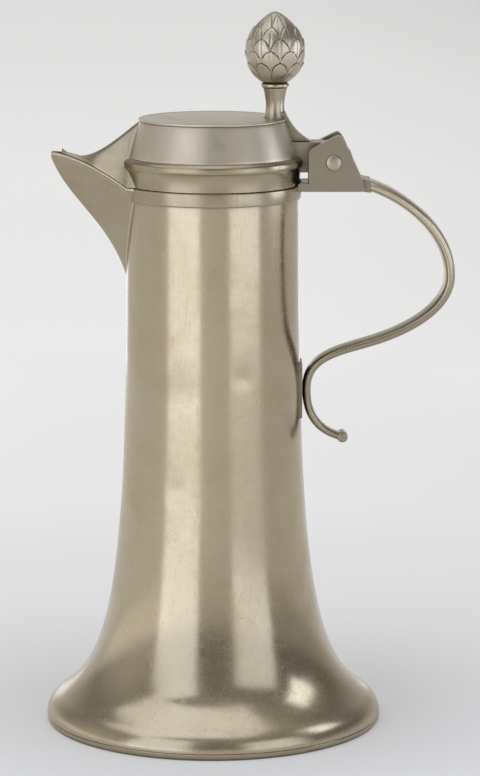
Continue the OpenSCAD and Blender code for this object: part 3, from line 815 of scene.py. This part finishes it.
# %% [markdown]
# ## Tools for a finish
# A material is a little network: boxes that each work out one number or colour, joined by
# wires. Building it by hand in the editor is the way to learn it. Here ten finishes share the
# same network, so we write the joining once and give the common steps short names. A cloud is
# noise, a line is where a stretched cloud passes its middle value, and `between` turns a
# stretch of one number into a stretch of another.

# %% Name the common steps
class Recipe:
    """Adds nodes to one material and joins them."""

    def __init__(self, name):
        self.material = bpy.data.materials.new(name)
        self.material.use_nodes = True
        self.nodes = self.material.node_tree.nodes
        self.links = self.material.node_tree.links
        self.shader = self.nodes["Principled BSDF"]
        self.place = self.nodes.new("ShaderNodeTexCoord").outputs["Object"]

    def add(self, kind, inputs=(), **settings):
        """A node, with each input either linked to a socket or set to a value."""
        made = self.nodes.new(kind)
        for key, value in settings.items():
            setattr(made, key, value)
        for key, value in dict(inputs).items():
            if isinstance(value, bpy.types.NodeSocket):
                self.links.new(value, made.inputs[key])
            else:
                made.inputs[key].default_value = value
        return made

    def stretched(self, scale, turn=(0, 0, 0)):
        inputs = {"Vector": self.place, "Scale": scale, "Rotation": turn}
        return self.add("ShaderNodeMapping", inputs).outputs[0]

    def cloud(self, scale, detail=4, rough=0.55, vector=None, distortion=0.0):
        inputs = {"Vector": vector or self.place, "Scale": scale, "Detail": detail,
                  "Roughness": rough, "Distortion": distortion}
        return self.add("ShaderNodeTexNoise", inputs).outputs["Fac"]

    def between(self, value, start, end, low_value=0.0, high_value=1.0):
        inputs = {"Value": value, "From Min": start, "From Max": end,
                  "To Min": low_value, "To Max": high_value}
        return self.add("ShaderNodeMapRange", inputs).outputs["Result"]

    def line(self, scale, turn):
        """Thin lines that wander, where a stretched cloud passes its middle value."""
        cloud = self.cloud(1, 2, 0.5, self.stretched(scale, turn))
        middle, line_w = 0.5, 0.006
        return self.add("ShaderNodeMath", {0: cloud, 1: middle, 2: line_w},
                        operation="COMPARE").outputs[0]

    def sum(self, one, two, how="ADD"):
        inputs = {0: one, 1: two}
        return self.add("ShaderNodeMath", inputs, operation=how, use_clamp=True).outputs[0]

    def times(self, one, two):
        return self.sum(one, two, "MULTIPLY")

    def mixed(self, share, one, two):
        return self.add("ShaderNodeMix", {0: share, 6: one, 7: two}, data_type="RGBA").outputs[2]

    def raised(self, height, strength, distance, under=None):
        inputs = {"Height": height, "Strength": strength, "Distance": distance}
        if under:
            inputs["Normal"] = under
        return self.add("ShaderNodeBump", inputs).outputs["Normal"]


print("the steps of a finish are named")

# %% [markdown]
# ## Silver, old and used
# Polished silver is a mirror with a warm tint, and age is what makes it believable. A slow
# cloud of warm tarnish changes the colour, and streaks run down where cloths have passed.
# Darkness gathers in corners, which Blender finds with the Ambient Occlusion node, and the same
# node looking inwards finds the sharp edges, where the metal is rubbed bright. Wet fingers
# leave soft stains. Hair-thin scratches, small pits and the hammer's faint waves tip the
# surface. The roughness follows all of them, because tarnish is duller than a rubbed place.
# An image of scratches would be quicker, but it would stretch and repeat on shapes like these.

# %% A recipe for silver
dark_polish = (0.10, 0.08, 0.055)
fine_deep, grain_deep, wave_deep = 0.0001, 0.0003, 0.0006  # metres
edge_reach, edge_shine = 0.0009, 1.45
stain_wander = 0.011  # metres that a stain's edge may wander
held_from = turn_z * MM + 0.017  # metres; the hand rubs the handle bright from this height
held_to = belly_z * MM + 0.032  # up to this one, and above it


def stain(r, ragged, angle, height, size, depth):
    """A soft dark patch on the wall, with a ragged edge."""
    out = wall_r(height)
    middle = Vector((out * math.cos(angle), out * math.sin(angle), height)) * MM
    gap = r.add("ShaderNodeVectorMath", {0: r.place, 1: middle}, operation="DISTANCE")
    edge_at, full_at = size + stain_wander / 2, size * 0.2 + stain_wander / 2
    return r.between(r.sum(gap.outputs["Value"], ragged), edge_at, full_at, 0, depth)


def silver(name, bright, warm, rough, tarnish=0.5, corner=0.004, edges=0.6, turning=0.0,
           cast=0.0, unheld=None, stains=()):
    """Old silver: tarnish is how much of it is warm, corner how wide the dark corners are."""
    r = Recipe(name)
    slow = r.cloud(17, 6, 0.62, distortion=0.6)
    patches = r.between(slow, 0.62 - tarnish * 0.3, 0.82 - tarnish * 0.2)
    streaks = r.between(r.cloud(1, 5, 0.6, r.stretched((95, 95, 7))), 0.5, 0.75)
    fine = r.cloud(260, 3, 0.7)
    specks = r.between(r.cloud(620, 2, 0.6), 0.71, 0.76)
    scratches = r.sum(r.line((420, 420, 9), (0.5, 0.25, 0)), r.line((300, 12, 300), (0, 0.4, 0.9)))

    # Where the dirt is: in corners, in specks and in the stains
    shade = r.add("ShaderNodeAmbientOcclusion", {"Distance": corner}, samples=8).outputs["AO"]
    corners = r.between(shade, 0.92, 0.35)
    grime = r.sum(r.times(corners, 0.45), r.times(corners, r.times(fine, 0.55)))
    grime = r.sum(grime, r.times(specks, 0.4))
    ragged = r.times(r.cloud(110, 3, 0.6), stain_wander) if stains else None
    for marks in stains:
        grime = r.sum(grime, stain(r, ragged, *marks))

    # The colour, from warm tarnish to rubbed edges to dirt
    tint = r.mixed(r.sum(patches, r.times(streaks, 0.3)), [*bright, 1], [*warm, 1])
    if unheld:
        height = r.add("ShaderNodeSeparateXYZ", {0: r.place}).outputs["Z"]
        tint = r.mixed(r.between(height, held_from, held_to), [*unheld, 1], tint)
    if edges:
        ridge = r.add("ShaderNodeAmbientOcclusion", {"Distance": edge_reach}, samples=8,
                      inside=True)
        rubbed_edges = r.between(ridge.outputs["AO"], 0.75, 0.3, 0, edges)
        tint = r.mixed(rubbed_edges, tint, [c * edge_shine for c in bright] + [1])
    r.links.new(r.mixed(grime, tint, [*dark_polish, 1]), r.shader.inputs["Base Color"])

    # The roughness, which all of these add to
    duller = r.sum(r.times(patches, 0.09), r.times(grime, 0.22))
    duller = r.sum(duller, r.between(fine, 0.3, 0.7, 0.0, 0.06))
    duller = r.sum(duller, r.times(scratches, 0.10))
    r.links.new(r.sum(duller, rough), r.shader.inputs["Roughness"])

    # The relief: scratches, turning lines, the grain of a casting, hammer waves and pits
    bumps = r.raised(scratches, -0.12, fine_deep)
    if turning:
        lines = r.cloud(1, 3, 0.7, r.stretched((6, 6, 2200)))
        bumps = r.raised(lines, turning, fine_deep, bumps)
    if cast:
        bumps = r.raised(r.cloud(420, 4, 0.6), cast, grain_deep, bumps)
    bumps = r.raised(r.cloud(85, 1, 0.4), 0.10, wave_deep, bumps)
    r.links.new(r.raised(specks, -0.25, fine_deep, bumps), r.shader.inputs["Normal"])
    r.shader.inputs["Metallic"].default_value = 1.0
    return r.material


print("a recipe for silver is ready")

# %% [markdown]
# ## The finishes
# The body is rubbed most and is the best mirror, and the spout and the bands have aged darker.
# The lid is paler and duller than the body. The handle is bright where the hand holds it and
# darkens towards its tail. The inside never sees a polishing cloth. The hinge is cast and stays
# dark in its corners, and the bud keeps old polish in the chasing. Each is the same recipe with
# other amounts, so that all the metal on the jug belongs together.

# %% Mix the finishes
# direction in radians, height in mm, radius in metres, share of dark
finger_stains = [(-1.95, 170, 0.013, 0.22), (-0.55, 146, 0.010, 0.10), (0.8, 184, 0.013, 0.10),
                 (2.3, 128, 0.011, 0.08), (-2.8, 196, 0.010, 0.09)]
rubbed, rubbed_warm = (0.475, 0.405, 0.29), (0.43, 0.35, 0.225)
aged, aged_warm = (0.39, 0.335, 0.245), (0.34, 0.275, 0.18)
finishes = {
    "silver": silver("rubbed_silver", rubbed, rubbed_warm, 0.15, edges=0, stains=finger_stains),
    "rubbed_rim": silver("rubbed_rim", rubbed, rubbed_warm, 0.19, edges=0, turning=0.10),
    "held": silver("held_silver", (0.575, 0.50, 0.375), (0.52, 0.44, 0.31), 0.22,
                   unheld=(0.34, 0.29, 0.205)),
    "aged": silver("aged_silver", aged, aged_warm, 0.22, 0.6),
    "aged_ring": silver("aged_ring", aged, aged_warm, 0.22, 0.6, turning=0.10),
    "lid_silver": silver("lid_silver", (0.62, 0.56, 0.465), (0.555, 0.47, 0.35), 0.34),
    "silver_inside": silver("dull_silver", (0.43, 0.37, 0.28), (0.38, 0.31, 0.20), 0.44,
                            0.9, 0.008),
    "hinge_silver": silver("cast_silver", (0.31, 0.27, 0.20), (0.26, 0.215, 0.145), 0.27,
                           0.6, 0.005, cast=0.25),
    "bud_silver": silver("chased_silver", (0.50, 0.445, 0.35), (0.43, 0.355, 0.245), 0.30,
                         0.6, 0.0035),
    "pin": silver("pin_wire", (0.42, 0.375, 0.295), (0.36, 0.31, 0.23), 0.32, 0.5, 0.003),
}
print("finishes:", ", ".join(finishes))

# %% [markdown]
# ## Putting the jug together
# Every piece is hung on the body it moves with, and the plain solid it stands for is hidden. The
# lid's pieces ride on the lid, so they swing together on the pin, and the rest stays with the jug.
# Smooth shading hides the facets, and edges that turn sharply are kept crisp. The cast pieces
# also get weighted normals: their large flat sides then look flat right up to the eased edge.

# %% Finish every piece
crisp_from = 36  # degrees that an edge has to turn to stay crisp


def finish_piece(piece, body_name, slot, *nodes, look=None):
    """Gives a piece its finish and its body, and hides the solids it stands for."""
    piece.data.materials.clear()
    piece.data.materials.append(finishes[look or slot])
    piece.data.polygons.foreach_set("use_smooth", [True] * len(piece.data.polygons))
    piece.data.set_sharp_from_angle(angle=math.radians(crisp_from))
    if slot == "hinge_silver":
        flat = piece.modifiers.new("flat", "WEIGHTED_NORMAL")
        flat.keep_sharp = True
        settle(piece)
    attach(piece, body_name)
    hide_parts(*nodes)


finish_piece(body, "jug", "silver", "body_shell")
finish_piece(skirt, "jug", "silver", "foot_skirt")
finish_piece(pan, "jug", "silver_inside", "vessel_floor")
finish_piece(rim, "jug", "silver", "foot_rim", look="rubbed_rim")
finish_piece(band, "jug", "silver", "mouth_band", look="aged_ring")
finish_piece(beak, "jug", "silver", "spout_beak", look="aged")
finish_piece(lip, "jug", "silver", "spout_lip", look="aged")
finish_piece(bracket, "jug", "hinge_silver", "hinge_bracket")
finish_piece(pin, "jug", "pin", "hinge_pin")
finish_piece(strap, "jug", "silver", "handle_strap", look="held")
finish_piece(pad, "jug", "hinge_silver", "handle_pad")
finish_piece(rim_band, "lid", "silver", "lid_rim_band", look="aged_ring")
finish_piece(side, "lid", "silver", "lid_side", look="lid_silver")
finish_piece(crown, "lid", "silver", "lid_top", look="lid_silver")
finish_piece(locator, "lid", "silver_inside", "lid_bezel")
finish_piece(tongue, "lid", "silver", "lid_tongue", look="aged")
finish_piece(leaf, "lid", "hinge_silver", "hinge_leaf")
finish_piece(web, "lid", "hinge_silver", "thumb_web")
finish_piece(stem, "lid", "silver", "thumb_stem", look="aged")
finish_piece(collar, "lid", "silver", "thumb_collar", look="rubbed_rim")
finish_piece(bud, "lid", "bud_silver", "thumb_bud")

# %% [markdown]
# ## A pale table
# Metal shows whatever is round it, so lighting silver means choosing what it reflects. The
# largest thing it sees is the table. On a real one a sweep of white paper stays bright far
# away and falls off near the jug. A plain white floor would need so much light that the
# silver would burn out, so this floor is a mid grey that also glows a little, and only for
# the camera and for reflections. The glow is weaker round the foot and far out to both sides.

# %% Lay the table
glow_stops = [(0.09, 0.235, 0.97), (0.23, 0.35, 0.975), (0.5, 0.465, 0.985),
              (1.1, 0.56, 0.995), (2.2, 0.58, 1), (5.0, 0.50, 1)]  # metres, glow, warmth
handle_fall = (0.05, 1.0, 1.0, 0.74)  # from and to in metres, light here and there
spout_fall = (-0.45, -1.0, 1.0, 0.85)
table_r, table_sides = 14000, 64


def table_material():
    """Matt paper that also glows, for the camera and for reflections only."""
    r = Recipe("pale_table")
    tint = r.mixed(r.cloud(3, 2), (0.54, 0.54, 0.535, 1), (0.56, 0.56, 0.555, 1))
    r.links.new(tint, r.shader.inputs["Base Color"])
    r.shader.inputs["Roughness"].default_value = 0.85
    r.shader.inputs["Specular IOR Level"].default_value = 0.1
    path = r.add("ShaderNodeLightPath").outputs
    seen = r.sum(r.sum(path["Is Camera Ray"], path["Is Glossy Ray"]), path["Is Transmission Ray"])
    away = r.add("ShaderNodeVectorMath", {0: r.place}, operation="LENGTH").outputs["Value"]
    fade = r.add("ShaderNodeValToRGB", {0: r.between(away, 0, glow_stops[-1][0])})
    stops = fade.color_ramp.elements
    while len(stops) < len(glow_stops):
        stops.new(1)
    for stop, (distance, amount, warmth) in zip(stops, glow_stops):
        stop.position = distance / glow_stops[-1][0]
        stop.color = (amount, amount * warmth, amount * warmth * warmth, 1)
    across = r.add("ShaderNodeSeparateXYZ", {0: r.place}).outputs["X"]
    shade = r.times(r.between(across, *handle_fall), r.between(across, *spout_fall))
    glow = r.add("ShaderNodeEmission", {"Color": fade.outputs[0], "Strength": r.times(seen, shade)})
    both = r.add("ShaderNodeAddShader", {0: r.shader.outputs[0], 1: glow.outputs[0]})
    r.links.new(both.outputs[0], r.nodes["Material Output"].inputs["Surface"])
    return r.material


angles = [math.tau * i / table_sides for i in range(table_sides)]
table_edge = [(table_r * math.cos(angle), table_r * math.sin(angle), 0) for angle in angles]
table = raw_piece("table", table_edge, [tuple(range(table_sides))])
table.data.materials.append(table_material())
print("the table is", table_r / 1000, "m in radius")

# %% [markdown]
# ## Panels and a window
# A soft panel is an area lamp: a glowing rectangle with even light. Its reflection in the
# silver has the rectangle's own shape, so the place and size of each panel were read off the
# bright bands on the jug. Two stand in front, one hangs above, and a small window on the right
# leaves the spark on the foot. Two dimmer panels behind give the back of the jug a band too.
# These last two shine only into the metal and leave the table alone.

# %% Hang the soft panels
cool_white = (0.80, 0.87, 1)
hung_from = 1000  # a panel below this faces the jug, and one above it faces straight down


def panel(name, side_angle, distance, height, size, glow):
    """A soft light whose middle is at that angle from the camera's side, seen from above."""
    lamp = bpy.data.objects.new(name, bpy.data.lights.new(name, "AREA"))
    lamp.data.shape = "RECTANGLE"
    lamp.data.size, lamp.data.size_y = size[0] * MM, size[1] * MM
    lamp.data.energy = glow * math.pi * size[0] * size[1] * MM * MM
    lamp.data.color = cool_white
    angle = math.radians(side_angle)
    lamp.location = Vector((math.sin(angle) * distance, -math.cos(angle) * distance, height)) * MM
    if height < hung_from:
        lamp.rotation_euler = (math.pi / 2, 0, angle)
    lamp.visible_camera = False  # the lamps stay out of the picture
    bpy.context.scene.collection.objects.link(lamp)
    return lamp


panel("left_panel", -37.5, 850, 520, (670, 1040), 1.22)
panel("right_panel", 43, 850, 390, (640, 660), 1.14)
panel("top_panel", -73.4, 351, 1250, (1590, 1000), 1.1)
panel("window", 89, 400, 325, (160, 215), 2.4)
for name, side_angle, width in (("back_left", -162, 300), ("back_right", 166, 170)):
    panel(name, side_angle, 1000, 175, (width, 350), 0.82).visible_diffuse = False

# %% [markdown]
# ## The room
# The rest of what the silver shows is the room. It is pale near the horizon and behind the
# jug, like a studio with a paper backdrop, and darker behind the camera. The side that the
# spout points to is brighter than the handle's side. Blender's world is a picture wrapped round
# the scene, and here it is worked out from the direction of each ray: Y is the depth of the
# room, X its two sides, and Z the height.

# %% Light the room
wall_stops = [(-0.9, 0.26), (-0.5, 0.31), (0.0, 0.36), (0.6, 0.30), (0.95, 0.68)]  # depth, glow
horizon_glow, ceiling_glow = 0.68, 0.45


def grey(amount):
    """A grey that is a little warm."""
    warmth = 0.985
    return (amount, amount * warmth, amount * warmth * warmth, 1)


def room_node(kind, *links, data_type=None, **values):
    """A node in the world, with its inputs linked or set by name."""
    made = room.nodes.new(kind)
    if data_type:
        made.data_type = data_type
    for output, key in links:
        room.links.new(output, made.inputs[key])
    for key, value in values.items():
        made.inputs[key.replace("_", " ")].default_value = value
    return made


def room_range(output, start, end, low_value=0.0, high_value=1.0):
    return room_node("ShaderNodeMapRange", (output, "Value"), From_Min=start, From_Max=end,
                     To_Min=low_value, To_Max=high_value).outputs["Result"]


def room_mix(share, one, other_glow):
    made = room_node("ShaderNodeMix", (share, 0), (one, 6), data_type="RGBA")
    made.inputs[7].default_value = grey(other_glow)
    return made.outputs[2]


world = bpy.data.worlds.new("room")
bpy.context.scene.world = world
world.use_nodes = True
room = world.node_tree
direction = room.nodes.new("ShaderNodeTexCoord").outputs["Generated"]
ray = room_node("ShaderNodeSeparateXYZ", (direction, 0)).outputs
walls = room_node("ShaderNodeValToRGB", (room_range(ray["Y"], -1, 1), 0))
while len(walls.color_ramp.elements) < len(wall_stops):
    walls.color_ramp.elements.new(1)
for stop, (place, amount) in zip(walls.color_ramp.elements, wall_stops):
    stop.position, stop.color = (place + 1) / 2, grey(amount)
low_down = room_range(ray["Z"], 0.22, 0.11)
overhead = room_range(ray["Z"], 0.74, 0.90)
glow = room_mix(overhead, room_mix(low_down, walls.outputs[0], horizon_glow), ceiling_glow)
handle_side = room_range(ray["X"], 0.3, 0.9, 1.0, 0.6)
spout_side = room_range(ray["X"], -0.70, -0.92, 1.0, 1.55)
strength = room_node("ShaderNodeMath", (handle_side, 0), (spout_side, 1))
strength.operation = "MULTIPLY"
room.links.new(glow, room.nodes["Background"].inputs["Color"])
room.links.new(strength.outputs[0], room.nodes["Background"].inputs["Strength"])
bpy.context.scene.view_settings.view_transform = "Standard"
print("the room glows from", wall_stops[0][1], "to", wall_stops[-1][1])
